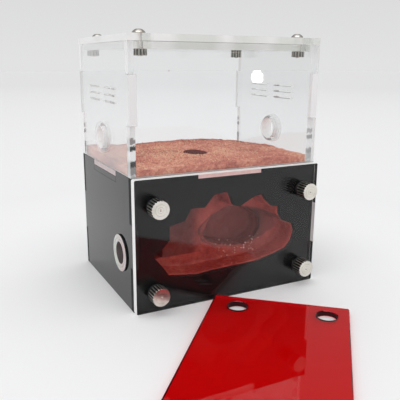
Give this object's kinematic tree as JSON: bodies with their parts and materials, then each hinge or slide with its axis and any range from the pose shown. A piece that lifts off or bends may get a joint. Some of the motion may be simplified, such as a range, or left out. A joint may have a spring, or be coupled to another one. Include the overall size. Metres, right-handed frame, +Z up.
{
  "type": "ant habitat",
  "caption": "Ant habitat: a carved nest in a black box behind a bolted clear cover, a clear arena with a lift-off lid above it, and a loose red filter plate.",
  "frame": {"origin": "centre of the underside of the nest box, where it stands", "axes": "+X right and +Z up as seen from the front, +Y towards the back; the clear cover faces -Y"},
  "size_m": [0.1383, 0.2171, 0.1397],
  "materials": {
    "black_acrylic": "polished black acrylic sheet",
    "clear_acrylic": "polished clear acrylic sheet",
    "frosted_acrylic": "turned clear acrylic with a milky surface",
    "red_acrylic": "polished transparent red acrylic sheet",
    "nickel": "turned and nickel-plated",
    "black_nylon": "moulded black nylon",
    "carved_plaster": "damp carved plaster, red-brown",
    "clay_sand": "dry salmon clay sand with tan grains"
  },
  "bodies": {
    "nest": {"base_panel": "black_acrylic", "left_side_panel": "black_acrylic", "right_side_panel": "black_acrylic", "back_panel": "black_acrylic", "front_mask_panel": "black_acrylic", "nest_ceiling_panel": "black_acrylic", "plaster_nest": "carved_plaster", "front_cover": "clear_acrylic", "nest_port_bushing": "frosted_acrylic", "front_studs": "nickel", "arena_floor_plate": "clear_acrylic", "arena_front_wall": "clear_acrylic", "arena_back_wall": "clear_acrylic", "arena_left_wall": "clear_acrylic", "arena_right_wall": "clear_acrylic", "arena_left_bushing": "frosted_acrylic", "arena_right_bushing": "frosted_acrylic", "sand_bed": "clay_sand"},
    "lid": {"lid_plate": "clear_acrylic", "lid_locating_plate": "clear_acrylic", "lid_screws": "nickel", "lid_nuts": "nickel"},
    "red_filter": {"red_filter_plate": "red_acrylic"},
    "washer_upper_left": {"nut_washer_upper_left": "black_nylon"},
    "nut_upper_left": {"thumb_nut_upper_left": "nickel"},
    "washer_upper_right": {"nut_washer_upper_right": "black_nylon"},
    "nut_upper_right": {"thumb_nut_upper_right": "nickel"},
    "washer_lower_left": {"nut_washer_lower_left": "black_nylon"},
    "nut_lower_left": {"thumb_nut_lower_left": "nickel"},
    "washer_lower_right": {"nut_washer_lower_right": "black_nylon"},
    "nut_lower_right": {"thumb_nut_lower_right": "nickel"}
  },
  "joints": [
    {"name": "lid_lift", "type": "slide", "parent": "nest", "child": "lid", "axis": [0, 0, 1], "range_m": [0, 0.06]},
    {"name": "filter_lift", "type": "slide", "parent": "nest", "child": "red_filter", "axis": [0, 0, 1], "range_m": [0, 0.05]},
    {"name": "nut_travel_upper_left", "type": "slide", "parent": "nest", "child": "washer_upper_left", "axis": [0, -1, 0], "range_m": [0, 0.0052]},
    {"name": "nut_turn_upper_left", "type": "hinge", "parent": "washer_upper_left", "child": "nut_upper_left", "pos_m": [-0.0445, -0.0468, 0.056], "axis": [0, -1, 0], "range_deg": [0, 2700]},
    {"name": "nut_travel_upper_right", "type": "slide", "parent": "nest", "child": "washer_upper_right", "axis": [0, -1, 0], "range_m": [0, 0.0052]},
    {"name": "nut_turn_upper_right", "type": "hinge", "parent": "washer_upper_right", "child": "nut_upper_right", "pos_m": [0.0445, -0.0468, 0.056], "axis": [0, -1, 0], "range_deg": [0, 2700]},
    {"name": "nut_travel_lower_left", "type": "slide", "parent": "nest", "child": "washer_lower_left", "axis": [0, -1, 0], "range_m": [0, 0.0052]},
    {"name": "nut_turn_lower_left", "type": "hinge", "parent": "washer_lower_left", "child": "nut_lower_left", "pos_m": [-0.0445, -0.0468, 0.011], "axis": [0, -1, 0], "range_deg": [0, 2700]},
    {"name": "nut_travel_lower_right", "type": "slide", "parent": "nest", "child": "washer_lower_right", "axis": [0, -1, 0], "range_m": [0, 0.0052]},
    {"name": "nut_turn_lower_right", "type": "hinge", "parent": "washer_lower_right", "child": "nut_lower_right", "pos_m": [0.0445, -0.0468, 0.011], "axis": [0, -1, 0], "range_deg": [0, 2700]}
  ],
  "couplings": [
    {"joint": "nut_turn_upper_left", "follows": "nut_travel_upper_left", "rad_per_m": 8976},
    {"joint": "nut_turn_upper_right", "follows": "nut_travel_upper_right", "rad_per_m": 8976},
    {"joint": "nut_turn_lower_left", "follows": "nut_travel_lower_left", "rad_per_m": 8976},
    {"joint": "nut_turn_lower_right", "follows": "nut_travel_lower_right", "rad_per_m": 8976}
  ]
}
